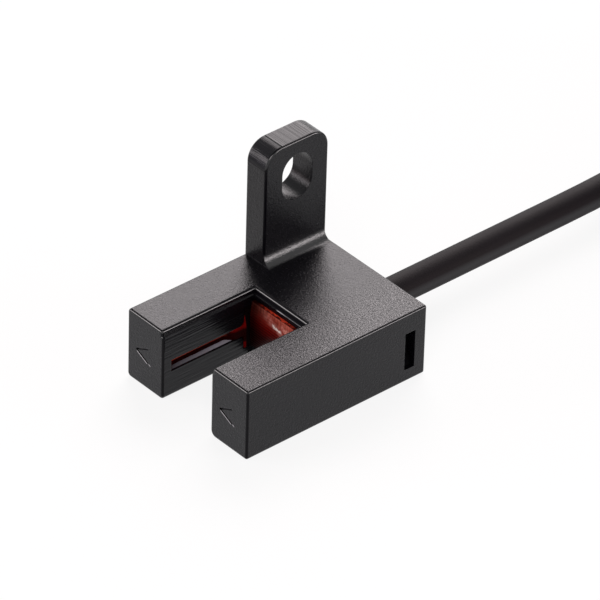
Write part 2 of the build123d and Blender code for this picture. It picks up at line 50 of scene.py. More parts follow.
# %% [markdown]
# ## Camera
# The photograph looks from the front right through a long lens: the parallel edges of the housing
# hardly converge. So the camera stands 500 mm from the middle of the housing at an azimuth of 48.25
# degrees and an elevation of 35.5 degrees, and its lens shows 48.4 mm of the object across the
# picture. It is turned by 1.7 degrees about its own axis, as the picture is, and moved sideways
# instead of shifted.

# %% Camera
MM = 0.001
AZIMUTH = math.radians(48.254)
ELEVATION = math.radians(35.495)
ROLL = math.radians(1.670)
DISTANCE = 500 * MM
AIM = Vector((0, 0, 5)) * MM
SIDEWAYS = 1.829 * MM
UPWARDS = 1.896 * MM
SEEN_WIDTH = 48.408 * MM
SENSOR_WIDTH = 36

back = Vector((
    math.sin(AZIMUTH) * math.cos(ELEVATION),
    -math.cos(AZIMUTH) * math.cos(ELEVATION),
    math.sin(ELEVATION),
))
level_right = Vector((math.cos(AZIMUTH), math.sin(AZIMUTH), 0))
level_up = back.cross(level_right)
right = math.cos(ROLL) * level_right + math.sin(ROLL) * level_up
up = math.cos(ROLL) * level_up - math.sin(ROLL) * level_right

camera = bpy.data.objects.new("camera", bpy.data.cameras.new("camera"))
bpy.context.scene.collection.objects.link(camera)
camera.data.sensor_width = SENSOR_WIDTH
camera.data.lens = SENSOR_WIDTH * DISTANCE / SEEN_WIDTH
camera.data.clip_start = 0.05
camera.data.clip_end = 20
place = AIM + DISTANCE * back + SIDEWAYS * right + UPWARDS * up
turn = Matrix((right, up, back)).transposed()
camera.matrix_world = Matrix.Translation(place) @ turn.to_4x4()
bpy.context.scene.camera = camera
print("lens:", round(camera.data.lens, 1), "mm")

# %% [markdown]
# ## Cable
# The cable is 2.6 mm thick and one metre long. It leaves the back wall straight, sinks to the table
# and is wound into a neat coil of two turns side by side in six layers. A metal tube model would be
# bent arc by arc. A real cable takes one smooth line, so it is a NURBS curve: a few points pull the
# curve along, and it never kinks. The first points, listed one by one, are the cable's route.

# %% The cable's route
CABLE = 2.6
EXIT = (0.0, 9.5, 2.55)
ROUTE = [
    (0.0, 7.6, 2.55),
    (0.0, 27.0, 2.55),
    (0.0, 36.0, 2.55),
    (-1.1, 44.9, 2.1),
    (-3.09, 51.2, 1.65),
    (-5.15, 56.3, 1.65),
]
COIL_MIDDLE = 27.0
COIL_START = 202.0
OUTER_TURN = COIL_MIDDLE / 2 + CABLE / 2
INNER_TURN = COIL_MIDDLE / 2 - CABLE / 2
COIL_FLOOR = ROUTE[-1][2]
COIL_X = ROUTE[-1][0] - OUTER_TURN * math.cos(math.radians(COIL_START))
COIL_Y = ROUTE[-1][1] - OUTER_TURN * math.sin(math.radians(COIL_START))
print("middle of the coil:", round(COIL_X, 2), round(COIL_Y, 2))

# %% [markdown]
# A turn can't step sideways or upwards where its neighbour still lies, so the turns change places
# one after the other: each starts its step a little later than the turn above it, and the last one
# is out of the way before the straight cable comes in. A turn takes 24 points, half a step off the
# start, which makes the straight run touch the circle smoothly.

# %% The coil's turns
TURN_POINTS = 24
LAYERS = 6
STEP_WIDE = 45.0
STEP_LAG = 13.6
FIRST_STEP = 304.0
LAST_TURN = 106.6

places = []
for layer in range(LAYERS):
    level = COIL_FLOOR + layer * CABLE
    pair = [(OUTER_TURN, level), (INNER_TURN, level)]
    places += pair if layer % 2 == 0 else pair[::-1]


def coil_point(progress, stretch=1.0):
    """A point of the coil, for how many degrees the cable has gone round."""
    turn_number = int(progress // 360)
    start = FIRST_STEP - STEP_LAG * turn_number
    share = min(max((progress % 360 - start) / STEP_WIDE, 0.0), 1.0)
    here = places[turn_number]
    there = places[min(turn_number + 1, len(places) - 1)]
    radius = here[0] + share * (there[0] - here[0])
    height = here[1] + share * (there[1] - here[1])
    angle = math.radians(COIL_START - progress)
    x = COIL_X + stretch * radius * math.cos(angle)
    y = COIL_Y + stretch * radius * math.sin(angle)
    return (x, y, height)


one_step = 360 / TURN_POINTS
outwards = 1 / math.cos(math.radians(one_step / 2))
whole_way = 360 * (len(places) - 1) + LAST_TURN
coil = [
    coil_point((count + 0.5) * one_step, outwards)
    for count in range(int(whole_way / one_step))
]
coil.append(coil_point(whole_way))
print("points in the coil:", len(coil))

# %% The cable's curve
curve = bpy.data.curves.new("cable", "CURVE")
curve.dimensions = "3D"
curve.bevel_depth = 1.0
curve.bevel_resolution = 7
curve.resolution_u = 3
curve.use_fill_caps = True
spline = curve.splines.new("NURBS")
cable_points = ROUTE + coil
spline.points.add(len(cable_points) - 1)
for point, (x, y, z) in zip(spline.points, cable_points):
    point.co = (x * MM, y * MM, z * MM, 1)
    point.radius = CABLE / 2 * MM
spline.order_u = 3
spline.use_endpoint_u = True
cable = bpy.data.objects.new("cable", curve)
bpy.context.scene.collection.objects.link(cable)
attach(cable, "root")
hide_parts("cable_run", "cable_coil")
on_the_cable = ["coil_tie", "core_tips"]
on_the_cable += ["end_core_" + name for name in ("brown", "black", "white", "blue")]
print("points in the cable:", len(cable_points))

# %% [markdown]
# ## Helpers for materials
# Colours are easiest to pick as the sRGB hex values that a picture editor shows, but Blender's
# sockets hold linear light, so one function turns them. Another adds a node, with its options, its
# values and what is linked to it, so each finish below reads as a short list of nodes. Sockets go
# by name, or by number where several share one.

# %% Helpers
def colour(hex_value):
    """The linear colour of an sRGB hex value."""
    shares = [int(hex_value[i:i + 2], 16) / 255 for i in (1, 3, 5)]
    linear = [s / 12.92 if s <= 0.04045 else ((s + 0.055) / 1.055) ** 2.4 for s in shares]
    return (*linear, 1.0)


def add(tree, kind, values=None, **options):
    """A new node. A value is a number, a colour, an output, or a node for its first output."""
    made = tree.nodes.new("ShaderNode" + kind)
    for name, option in options.items():
        setattr(made, name, option)
    for name, value in (values or {}).items():
        if isinstance(value, bpy.types.Node):
            value = value.outputs[0]
        if isinstance(value, bpy.types.NodeSocket):
            tree.links.new(value, made.inputs[name])
        else:
            made.inputs[name].default_value = value
    return made


def new_finish(name):
    """An empty material, and its node tree."""
    finish = bpy.data.materials.new(name)
    finish.use_nodes = True
    finish.node_tree.nodes.clear()
    return finish, finish.node_tree


def dress(finish, *pieces):
    """Gives pieces their finish."""
    for piece in pieces:
        made = nodes[piece] if isinstance(piece, str) else piece
        made.data.materials.clear()
        made.data.materials.append(finish)


def per_metre(size_mm):
    """A texture's scale for a pattern whose parts are so many millimetres apart."""
    return 1 / (size_mm * MM)


# A wave texture of scale 1 repeats after this length.
WAVE_PITCH = math.tau / 20
print("bands of a wave texture of scale 1:", round(WAVE_PITCH, 3), "apart")

# %% [markdown]
# ## Masks
# One moulding often has several surfaces: polished here, lined there. A material can tell them
# apart by place, because the object coordinates are the housing's own, in metres. A mask is one
# between two places, zero elsewhere and soft at its ends, and masks are multiplied to meet in a
# box. A box names its places, each with its low end, its high end and how soft the ends are, in
# millimetres. Colours are laid over each other as paint is, each where its mask is one.

# %% Masks
def inside(tree, value, low, high, soft=0.02):
    """One where a value in metres lies between two places in millimetres, and zero elsewhere."""
    rise = {"Value": value, "From Min": (low - soft) * MM, "From Max": (low + soft) * MM}
    fall = {"Value": value, "From Min": (high + soft) * MM, "From Max": (high - soft) * MM}
    return overlap(tree, add(tree, "MapRange", rise), add(tree, "MapRange", fall))


def overlap(tree, first, *others):
    """Where several masks are one at once."""
    for other in others:
        first = add(tree, "Math", {0: first, 1: other}, operation="MULTIPLY")
    return first


def either(tree, first, *others):
    """Where at least one of several masks is one."""
    for other in others:
        first = add(tree, "Math", {0: first, 1: other}, operation="MAXIMUM")
    return first


def within(tree, at, box):
    """Where a surface lies inside a box, which names its places along each axis."""
    return overlap(tree, *[inside(tree, at[way], *ends) for way, ends in box.items()])


def painted(tree, ground, *layers):
    """A colour with others laid over it, each where its mask is one."""
    ground = colour(ground) if isinstance(ground, str) else ground
    for mask, over in layers:
        over = colour(over) if isinstance(over, str) else over
        ground = add(tree, "Mix", {0: mask, 6: ground, 7: over}, data_type="RGBA").outputs[2]
    return ground


def object_places(tree):
    """A piece's object coordinates, and their three parts."""
    spot = add(tree, "TexCoord").outputs["Object"]
    return spot, add(tree, "SeparateXYZ", {0: spot}).outputs


def facing(tree):
    """How far a surface faces along each axis, either way, from zero to one."""
    normal = add(tree, "NewGeometry").outputs["Normal"]
    either_way = add(tree, "VectorMath", {0: normal}, operation="ABSOLUTE")
    return add(tree, "SeparateXYZ", {0: either_way}).outputs


def close_finish(tree, finish, values):
    """Ends a finish with its shader, and says that it is made."""
    shader = add(tree, "BsdfPrincipled", values)
    add(tree, "OutputMaterial", {"Surface": shader})
    print("finish:", finish.name)


# %% [markdown]
# ## Housing
# The housing is injection-moulded in black PBT, a hard polyester that engineers choose for its
# stiffness. Its mould was spark-eroded, which leaves a fine even grain: the eye sees a satin black
# that turns grey and mottled where it mirrors a lamp. The real grain is a few hundredths of a
# millimetre wide and is drawn 0.17 mm wide here, so that it still shows.
#
# The slot's walls were ground lengthwise in the mould, and the top of the tab across it, so both
# have fine lines instead of grain. A noise that is stretched along one axis draws such lines, and
# masks say where they are. A thin line runs over the tab where two parts of the mould met.
#
# Right of the slot the grain is coarser and carries painted glints, small pale specks, and the
# ledge of the slit has a painted reflection. The rounded edges are smoother, painted dark in their
# mirrored light, with a painted highlight as a bright line on the side. At the slot's end the
# ledge of the rim is matt, and only its edge has a painted highlight. The lower lip of the beam
# mark on each prong has a painted highlight and its groove a painted shadow. The fronts and the
# tab's flat top mirror less than the rest, a painted shade, and the fillet at the tab's foot
# mirrors more, a painted highlight. The specular tint gives each of these its own share of
# mirrored light, because the specular level itself has to be one number.

# %% Housing: where its surfaces are
SLOT_WALLS = {"X": (-3.1, 3.1), "Y": (-9.3, 0.2)}
SLIT_WIDTH = (3.2, 3.7, 0.04)
SLIT_FLOORS = {"Y": (-8.65, -1.7, 0.3), "Z": (2.38, 2.5)}
TOP_FACE = {"Z": (6.6, 6.8)}
BODY_RIMS = {"Z": (-1.0, 6.72)}
TAB_FOOT = {"Z": (6.72, 7.72)}
TAB_RIMS = {"Z": (7.72, 18.0)}
TAB_FRONT = {"Z": (7.0, 16.0, 0.2)}
TAB_TOP = {"Z": (15.7, 18.0, 0.1)}
SEAM = {"Y": (4.5, 4.58, 0.04)}
END_LEDGE = {"X": (-3.2, 3.2), "Y": (0.17, 0.6), "Z": (6.1, 6.55)}
LEDGE_EDGE_HIGHLIGHT = {"X": (-0.2, 3.1, 0.15), "Y": (0.08, 0.14), "Z": (6.1, 6.2)}

plastic, tree = new_finish("spark_eroded_black_pbt")
spot, at = object_places(tree)
faces = facing(tree)
on_side = add(tree, "MapRange", {"Value": faces["X"], "From Min": 0.85, "From Max": 0.95})
off_side = add(tree, "MapRange", {"Value": faces["X"], "From Min": 0.6, "From Max": 0.3})
slot_wall = overlap(tree, on_side, within(tree, at, SLOT_WALLS))
tab_top = overlap(tree, off_side, within(tree, at, TAB_TOP))
facing_up = add(tree, "MapRange", {"Value": faces["Z"], "From Min": 0.9, "From Max": 0.98})
tab_flat = overlap(tree, tab_top, facing_up)
mould_seam = overlap(tree, tab_top, within(tree, at, SEAM))
turned = either(tree, faces["X"], faces["Y"], faces["Z"])
rounded = add(tree, "MapRange", {"Value": turned, "From Min": 0.995, "From Max": 0.97})
leaning = add(tree, "MapRange", {"Value": faces["X"], "From Min": 0.1, "From Max": 0.2})
rims = either(
    tree,
    overlap(tree, rounded, within(tree, at, BODY_RIMS)),
    overlap(tree, rounded, leaning, within(tree, at, TAB_RIMS)),
)
foot = overlap(tree, rounded, leaning, within(tree, at, TAB_FOOT))
steepness = add(tree, "Math", {0: faces["Z"], 1: MM}, operation="MULTIPLY")
rim_highlight = overlap(tree, rims, inside(tree, steepness, 0.12, 0.66))
fronts = add(tree, "MapRange", {"Value": faces["Y"], "From Min": 0.85, "From Max": 0.95})
tab_front_shade = overlap(tree, fronts, within(tree, at, TAB_FRONT))
end_ledge = within(tree, at, END_LEDGE)
# A painted highlight along the edge of the ledge at the slot's end, fading towards the right.
highlight_fade = {
    "Value": at["X"],
    "From Min": 0.3 * MM,
    "From Max": 1.0 * MM,
    "To Min": 1.0,
    "To Max": 0.3,
}
ledge_edge_highlight = overlap(tree, add(tree, "MapRange", highlight_fade), within(tree, at, LEDGE_EDGE_HIGHLIGHT))
from_right = {"Value": at["X"], "From Min": 1.5 * MM, "From Max": 4.5 * MM}
coarse = overlap(
    tree,
    add(tree, "MapRange", from_right),
    add(tree, "MapRange", {"Value": faces["Z"], "From Min": 0.97, "From Max": 0.99}),
    within(tree, at, TOP_FACE),
)
outer = add(tree, "Math", {0: at["X"]}, operation="ABSOLUTE")
slit_floor = overlap(
    tree,
    inside(tree, outer, *SLIT_WIDTH),
    within(tree, at, SLIT_FLOORS),
    add(tree, "MapRange", {"Value": faces["Z"], "From Min": 0.7, "From Max": 0.9}),
)
print("nodes that tell the housing's surfaces apart:", len(tree.nodes))

# %% Housing: the beam marks
# An arm is followed from the mark's tip: how far beyond it, and at which height once its slope is
# taken off. The groove gets a painted shadow, its lower lip a painted highlight, and a pale fleck
# lies past its end.
MARK_TIPS = (-6.3, 4.15)
MARK_SLOPE = 0.4714
MARK_GROOVE_SHADOW = {"drop": (3.2, 3.4), "beyond": (-0.05, 1.42), "Y": (-9.6, -9.3)}
MARK_LIPS = [
    {"drop": (3.1, 3.16, 0.015), "beyond": (0.05, 1.35, 0.04), "Y": (-9.6, -9.48)},
    {"drop": (3.24, 3.3, 0.015), "beyond": (1.52, 1.74, 0.04), "Y": (-9.6, -9.48)},
]
groove_shadows = []
lips = []
for tip in MARK_TIPS:
    beyond = add(tree, "Math", {0: at["X"], 1: tip * MM}, operation="SUBTRACT")
    drop = add(tree, "Math", {0: beyond, 1: MARK_SLOPE, 2: at["Z"]}, operation="MULTIPLY_ADD")
    arm = {"drop": drop, "beyond": beyond, "Y": at["Y"]}
    groove_shadows.append(within(tree, arm, MARK_GROOVE_SHADOW))
    lips += [within(tree, arm, lip) for lip in MARK_LIPS]
groove_shadow = either(tree, *groove_shadows)
lip_highlight_and_fleck = either(tree, *lips)
print("beam marks point at x =", *MARK_TIPS)

# %% Housing: grain and lines
GRAIN = 0.17
grain = add(
    tree, "TexNoise",
    {"Vector": spot, "Scale": per_metre(GRAIN), "Detail": 3.0, "Roughness": 0.7},
)
clouds = add(tree, "TexNoise", {"Vector": spot, "Scale": per_metre(3.0), "Detail": 2.0})
along = add(tree, "Mapping", {"Vector": spot, "Scale": (1.0, 0.05, 1.0)})
across = add(tree, "Mapping", {"Vector": spot, "Scale": (0.03, 1.0, 1.0)})
ground = add(tree, "TexNoise", {"Vector": along, "Scale": per_metre(0.2), "Detail": 2.0})
tooled = add(tree, "TexNoise", {"Vector": across, "Scale": per_metre(0.14), "Detail": 2.0})
shallow = add(tree, "MapRange", {"Value": ground, "To Min": -0.05, "To Max": 1.05})
strong = add(tree, "MapRange", {"Value": grain, "To Min": -0.3, "To Max": 1.3}, clamp=False)
relief = add(tree, "Mix", {0: coarse, 2: grain, 3: strong})
relief = add(tree, "Mix", {0: slot_wall, 2: relief, 3: shallow})
relief = add(tree, "Mix", {0: tab_top, 2: relief, 3: tooled})
relief = add(tree, "Mix", {0: rims, 2: relief, 3: 0.5})
relief = add(tree, "Mix", {0: mould_seam, 2: relief, 3: -1.5})
softened = add(tree, "Bevel", {"Radius": 0.06 * MM}, samples=6)
bump = add(tree, "Bump", {"Height": relief, "Normal": softened, "Distance": 0.03 * MM})
print("grain drawn", GRAIN, "mm wide")

# %% Housing: colour and gloss
# Painted glints: pale specks right of the slot, in the colour and in the mirrored light.
specks = add(tree, "TexNoise", {"Vector": spot, "Scale": per_metre(0.11), "Detail": 1.0})
specks = add(tree, "MapRange", {"Value": specks, "From Min": 0.4, "From Max": 0.6})
glint_specks = overlap(tree, specks, coarse)
# The slit's ledge is painted pale, a painted reflection that is weaker towards the prong's front.
ledge_reflection_fade = {"Value": at["Y"], "From Min": -8.5 * MM, "From Max": -3.5 * MM, "To Min": 0.25}
ledge = overlap(tree, slit_floor, add(tree, "MapRange", ledge_reflection_fade))
tone = painted(
    tree, "#040306",
    (clouds, "#08070b"),
    (glint_specks, "#4a484a"),
    (ledge, "#aaa8b2"),
    (ledge_edge_highlight, "#aeacb0"),
    (groove_shadow, "#010101"),
    (lip_highlight_and_fleck, "#b2b0b4"),
)
# Painted shade and highlights in the mirrored light: the right prong's top mirrors only in the glint
# specks, the fronts, the tab's front and flat top and the rims are painted darker, and the steep
# part of each rim and the tab's foot are painted brighter.
painted_mirror_shading = painted(
    tree, "#8b8b8d",
    (coarse, "#000000"),
    (glint_specks, "#cbcbcb"),
    (slot_wall, "#7c7c81"),
    (fronts, "#505059"),
    (tab_front_shade, "#270000"),
    (tab_flat, "#5f5f61"),
    (end_ledge, "#000000"),
    (rims, "#616161"),
    (groove_shadow, "#000000"),
    (rim_highlight, "#ffffff"),
    (foot, "#ffffff"),
)
gloss = add(
    tree, "MapRange",
    {"Value": relief, "From Min": 0.3, "From Max": 0.7, "To Min": 0.16, "To Max": 0.3},
)
gloss = add(tree, "Mix", {0: rims, 2: gloss, 3: 0.1})
gloss = add(tree, "Mix", {0: foot, 2: gloss, 3: 0.15})
gloss = add(tree, "Mix", {0: end_ledge, 2: gloss, 3: 0.8})
close_finish(
    tree, plastic,
    {
        "Base Color": tone,
        "Roughness": gloss,
        "IOR": 1.5,
        "Specular IOR Level": 0.5,
        "Specular Tint": painted_mirror_shading,
        "Normal": bump,
    },
)
dress(plastic, "housing")

# %% [markdown]
# ## Red insert
# The insert that closes the slot's walls is moulded in red polycarbonate, which lets infrared light
# through and keeps dust out. Its bar at the end of the slot is crowned and has moulded ridges
# 0.25 mm apart. Its colour holds painted light: a colour ramp paints a glow and a pinkish highlight
# from the dark foot up to the upper rim, whose ragged front edge has a painted glow, and the bar's
# top face, its left end and the furrows between its ridges are painted darker. A painted
# reflection, a pale smear, runs across the bar and ends in a painted glint, with a pale painted
# highlight on its right. Beside the bar the corners are painted near-black, a painted shade, and
# only the insert's edge has a painted highlight: a narrow horn along the opening. The insert's
# line in the slit has a painted glow, brightest at its left end.

# %% Red insert: the bar's colour
RIDGE_PITCH = 0.25
JAG = 0.22 * MM
red, tree = new_finish("moulded_red_polycarbonate")
spot, at = object_places(tree)
ragged = add(tree, "TexNoise", {"Vector": spot, "Scale": per_metre(0.4), "Detail": 4.0})
ragged_edge = {"Value": ragged, "From Min": 0.3, "From Max": 0.7, "To Min": -JAG, "To Max": JAG}
jag = add(tree, "MapRange", ragged_edge)
height = add(tree, "Math", {0: at["Z"], 1: jag}, operation="ADD")
rise = add(tree, "MapRange", {"Value": height, "From Min": 1.2 * MM, "From Max": 5.6 * MM})
# The ramp paints a glow and a pinkish highlight band, from the dark foot up to the bright rim.
glow = add(tree, "ValToRGB", {0: rise})
stops = glow.color_ramp.elements
stops[0].color = colour("#480202")
stops[1].color = colour("#b05a4c")
for share, glowing in ((0.4, "#3c0302"), (0.66, "#780b06"), (0.8, "#8c2a22"), (0.95, "#a04538")):
    stops.new(share).color = colour(glowing)
print("reds from the foot of the bar to its rim:", len(stops))
# Painted shade: the bar darkens towards its left end, and the furrows between the ridges are painted
# darker.
left_end_shade = add(
    tree, "MapRange",
    {"Value": at["X"], "From Min": -2.5 * MM, "From Max": -0.8 * MM, "To Min": 0.13, "To Max": 1.0},
)
ridges = add(
    tree, "TexWave",
    {
        "Vector": spot,
        "Scale": per_metre(RIDGE_PITCH) * WAVE_PITCH,
        "Distortion": 0.6,
        "Detail": 1.0,
    },
    wave_type="BANDS", bands_direction="Z",
)
furrow_shade = add(tree, "MapRange", {"Value": ridges.outputs["Fac"], "To Min": 0.7, "To Max": 0.0})
fading = {
    "Value": at["Z"],
    "From Min": 4.0 * MM,
    "From Max": 4.8 * MM,
    "To Min": 1.0,
    "To Max": 0.2,
}
furrow_shade = overlap(tree, furrow_shade, add(tree, "MapRange", fading))
lit = add(tree, "Math", {0: 1.0, 1: furrow_shade}, operation="SUBTRACT")
upright = add(tree, "Mapping", {"Vector": spot, "Scale": (1.0, 1.0, 0.12)})
comb = add(tree, "TexNoise", {"Vector": upright, "Scale": per_metre(0.16), "Detail": 1.0})
comb = add(
    tree, "MapRange",
    {"Value": comb, "From Min": 0.35, "From Max": 0.6, "To Min": 0.5, "To Max": 1.0},
)
near_rim = add(tree, "MapRange", {"Value": at["Z"], "From Min": 4.6 * MM, "From Max": 5.3 * MM})
comb = add(tree, "Mix", {0: near_rim, 2: 1.0, 3: comb})
shading = overlap(tree, left_end_shade, lit, comb)

# %% Red insert: the painted reflection, glint and rim glow
REFLECTION_SLOPE = 0.33
GLINT_SLOPE = 0.15
SMEAR_REFLECTION = {"slant": (4.55, 5.1, 0.2), "X": (-1.2, 1.4, 0.6)}
GLINT = {"slant": (4.64, 4.92, 0.1), "X": (-0.2, 0.8, 0.15)}
PALE_HIGHLIGHT = {"height": (4.75, 5.25, 0.15), "X": (0.7, 2.2, 0.3)}
RIM_GLOW = {"depth": (-0.02, 0.6, 0.05), "X": (-2.0, 1.7, 0.4)}
slant = add(tree, "Math", {0: at["X"], 1: REFLECTION_SLOPE, 2: at["Z"]}, operation="MULTIPLY_ADD")
smear_reflection = overlap(
    tree,
    within(tree, {"slant": slant, "X": at["X"]}, SMEAR_REFLECTION),
    add(tree, "MapRange", {"Value": ragged, "From Min": 0.3, "From Max": 0.6}),
)
flecks = add(tree, "TexNoise", {"Vector": spot, "Scale": per_metre(0.25), "Detail": 2.0})
slant = add(tree, "Math", {0: at["X"], 1: GLINT_SLOPE, 2: at["Z"]}, operation="MULTIPLY_ADD")
scar_and_glint = overlap(
    tree,
    within(tree, {"slant": slant, "X": at["X"]}, GLINT),
    add(tree, "MapRange", {"Value": flecks, "From Min": 0.42, "From Max": 0.55}),
)
pale_end_highlight = overlap(
    tree,
    within(tree, {"height": height, "X": at["X"]}, PALE_HIGHLIGHT),
    add(tree, "MapRange", {"Value": flecks, "From Min": 0.3, "From Max": 0.6}),
)
depth = add(tree, "Math", {0: at["Y"], 1: jag}, operation="ADD")
upward = add(tree, "MapRange", {"Value": facing(tree)["Z"], "From Min": 0.6, "From Max": 0.8})
rim_glow = overlap(tree, upward, within(tree, {"depth": depth, "X": at["X"]}, RIM_GLOW))
# Over the ramp: a painted reflection, a pale painted highlight, a painted glint, painted shade on
# the bar's top face, and a painted glow along the top face's ragged front edge.
top_tone = painted(
    tree, glow,
    (smear_reflection, "#c07a70"),
    (pale_end_highlight, "#dc8e80"),
    (scar_and_glint, "#fff0ea"),
    (upward, "#5a1710"),
    (rim_glow, "#f04c32"),
)
bar_tone = add(
    tree, "Mix",
    {0: 1.0, 6: top_tone, 7: shading},
    data_type="RGBA", blend_type="MULTIPLY",
).outputs[2]
# The painted glint lies around this height.
print("scar of the gate around z =", sum(GLINT["slant"][:2]) / 2)

# %% Red insert: its corners and its line in the slit
INSERT_FACE = -0.95
HORN_WIDTH = 0.28
HORN_EDGE = 0.06
BESIDE_BAR = (2.93, 3.9, 0.03)
HORN = [(3.3, 5.0, 0.15), (1.35, 1.9, 0.1)]
SLIT_LINE = {"Z": (2.86, 3.2), "Y": (-9.0, -2.6, 0.3)}
LEFT_GLOW = {"Y": (-9.0, -8.1, 0.3)}
SLIT_END = {"Z": (2.5, 2.9, 0.1)}
narrowing = {
    "Value": at["Z"],
    "From Min": 3.3 * MM,
    "From Max": 4.9 * MM,
    "To Min": HORN_WIDTH * MM,
    "To Max": 0.0,
}
horn_width = add(tree, "MapRange", narrowing)
into_opening = add(tree, "Math", {0: at["Y"], 1: INSERT_FACE * MM}, operation="SUBTRACT")
room = add(tree, "Math", {0: horn_width, 1: into_opening}, operation="SUBTRACT")
horn_highlight = add(tree, "MapRange", {"Value": room, "From Max": HORN_EDGE * MM})
bright_part = either(tree, *[inside(tree, at["Z"], *part) for part in HORN])
horn_highlight = overlap(tree, horn_highlight, add(tree, "MapRange", {"Value": bright_part, "To Min": 0.06}))
left_glow = within(tree, at, LEFT_GLOW)
slit_end = overlap(tree, left_glow, within(tree, at, SLIT_END))
outer = add(tree, "Math", {0: at["X"]}, operation="ABSOLUTE")
beside_bar = inside(tree, outer, *BESIDE_BAR)
# Painted shade and light beside the bar: near-black corners, a painted highlight along the horn, and
# a painted glow along the insert's line in the slit and below it, brightest at its left end.
corner_tone = painted(
    tree, "#040000",
    (horn_highlight, "#7c0806"),
    (within(tree, at, SLIT_LINE), painted(tree, "#a8402f", (left_glow, "#ff6a40"))),
    (slit_end, "#6a140c"),
)
tone = painted(tree, bar_tone, (beside_bar, corner_tone))
# Beside the bar the mirrored light is painted darker.
painted_mirror_shading = painted(tree, "#cb9595", (beside_bar, "#7c5959"))
print("nodes in the red insert's colour:", len(tree.nodes))

# %% Red insert: relief and gloss
flow = add(tree, "TexNoise", {"Vector": spot, "Scale": per_metre(0.4), "Detail": 2.0})
relief = add(tree, "Math", {0: ridges.outputs["Fac"], 1: flow}, operation="ADD")
bump = add(tree, "Bump", {"Height": relief, "Distance": 0.012 * MM})
gloss = add(tree, "MapRange", {"Value": beside_bar, "To Min": 0.3, "To Max": 0.75})
close_finish(
    tree, red,
    {
        "Base Color": tone,
        "Roughness": gloss,
        "IOR": 1.58,
        "Specular IOR Level": 0.1,
        "Specular Tint": painted_mirror_shading,
        "Normal": bump,
    },
)
dress(red, "slit_cover")

# %% [markdown]
# ## Bottom cover
# The U-shaped plate that closes the housing is moulded in the same black PBT, but in a polished
# part of the mould, so it is smoother than the housing. Under it the ejector pins have left their
# round marks and the gate its small scar, as on nearly every moulded cover. They are rings in the
# bump, drawn from the distance to the middle of each pin. The two latches are matt, and their
# mirrored light is taken out, a painted shade behind the housing's side windows.

# %% Bottom cover finish
PIN_RADIUS = 0.75
PINS = [(-5.3, -6.5), (5.3, -6.5), (-4.6, 0.5), (4.6, 0.5), (-3.2, 6.3), (3.2, 6.3)]
PIN_RING = (PIN_RADIUS - 0.05, PIN_RADIUS + 0.05, 0.03)
COVER_GATE = (0, 4.2)
COVER_SCAR = (-1.0, 0.35, 0.08)
LATCHES = {"outer": (5.0, 8.0), "Y": (6.9, 8.7), "Z": (0.9, 6.0)}


def distance_to(tree, flat, x, y):
    """How far a place in a flat view is from a point of that view in millimetres."""
    point = (x * MM, y * MM, 0)
    return add(tree, "VectorMath", {0: flat, 1: point}, operation="DISTANCE").outputs["Value"]


cover, tree = new_finish("polished_black_pbt")
spot, at = object_places(tree)
flat = add(tree, "CombineXYZ", {"X": at["X"], "Y": at["Y"]})
rings = 0.0
for x, y in PINS:
    rings = either(tree, inside(tree, distance_to(tree, flat, x, y), *PIN_RING), rings)
scar_and_glint = inside(tree, distance_to(tree, flat, *COVER_GATE), *COVER_SCAR)
skin = add(tree, "TexNoise", {"Vector": spot, "Scale": per_metre(0.2), "Detail": 3.0})
flow = add(tree, "TexNoise", {"Vector": spot, "Scale": per_metre(4.0), "Distortion": 1.5})
relief = add(tree, "Math", {0: skin, 1: overlap(tree, rings, 4.0)}, operation="SUBTRACT")
relief = add(tree, "Math", {0: relief, 1: overlap(tree, scar_and_glint, 3.0)}, operation="ADD")
bump = add(tree, "Bump", {"Height": relief, "Distance": 0.008 * MM})
tone = painted(tree, "#050506", (flow, "#0a0a0c"))
gloss = add(tree, "MapRange", {"Value": flow, "To Min": 0.3, "To Max": 0.45})
outer = add(tree, "Math", {0: at["X"]}, operation="ABSOLUTE")
latch = within(tree, {"outer": outer, "Y": at["Y"], "Z": at["Z"]}, LATCHES)
gloss = add(tree, "Mix", {0: latch, 2: gloss, 3: 0.95})
# Painted shade: the latches mirror nothing.
painted_mirror_shading = painted(tree, "#ffffff", (latch, "#000000"))
close_finish(
    tree, cover,
    {
        "Base Color": tone,
        "Roughness": gloss,
        "IOR": 1.5,
        "Specular IOR Level": 0.2,
        "Specular Tint": painted_mirror_shading,
        "Normal": bump,
    },
)
dress(cover, "bottom_cover")

# %% [markdown]
# ## Circuit board
# The board is FR-4, glass cloth in epoxy, cut with a mill, so its edges are tan and show the
# layers of the cloth. Its faces have a green solder mask over copper tracks, which look a little
# lighter and stand up a little, and the four pads of the cable's cores are bare and tinned. Tracks
# run in bundles, square to each other: the square cells of a Voronoi texture choose the way of each
# bundle, and the middle of each cell is a via, whose radius is given in thousandths of a cell.

# %% Circuit board finish
CORE_PITCH = 1.05
PAD_Y = 4.92
TRACK_PITCH = 0.36
VIA = (-100.0, 130.0, 15.0)
PAD_RADIUS = 0.42
ROW_END = 2.05
board, tree = new_finish("fr4_with_green_solder_mask")
spot, at = object_places(tree)
field = {"Vector": spot, "Scale": per_metre(1.5), "Randomness": 0.4}
fields = add(tree, "TexVoronoi", field, distance="CHEBYCHEV")
chosen = add(tree, "SeparateColor", {0: fields.outputs["Color"]})
chosen = add(tree, "Math", {0: chosen, 1: 0.5}, operation="GREATER_THAN")
lanes = []
for way in ("X", "Y"):
    lane = add(tree, "Math", {0: at[way], 1: TRACK_PITCH / 2 * MM}, operation="PINGPONG")
    lanes.append(inside(tree, lane, -1.0, TRACK_PITCH / 4, 0.02))
track = add(tree, "Mix", {0: chosen, 2: lanes[0], 3: lanes[1]})
via = inside(tree, fields.outputs["Distance"], *VIA)
track = either(tree, track, via)
weave = add(
    tree, "TexWave",
    {"Vector": spot, "Scale": per_metre(0.1) * WAVE_PITCH},
    bands_direction="Z",
)
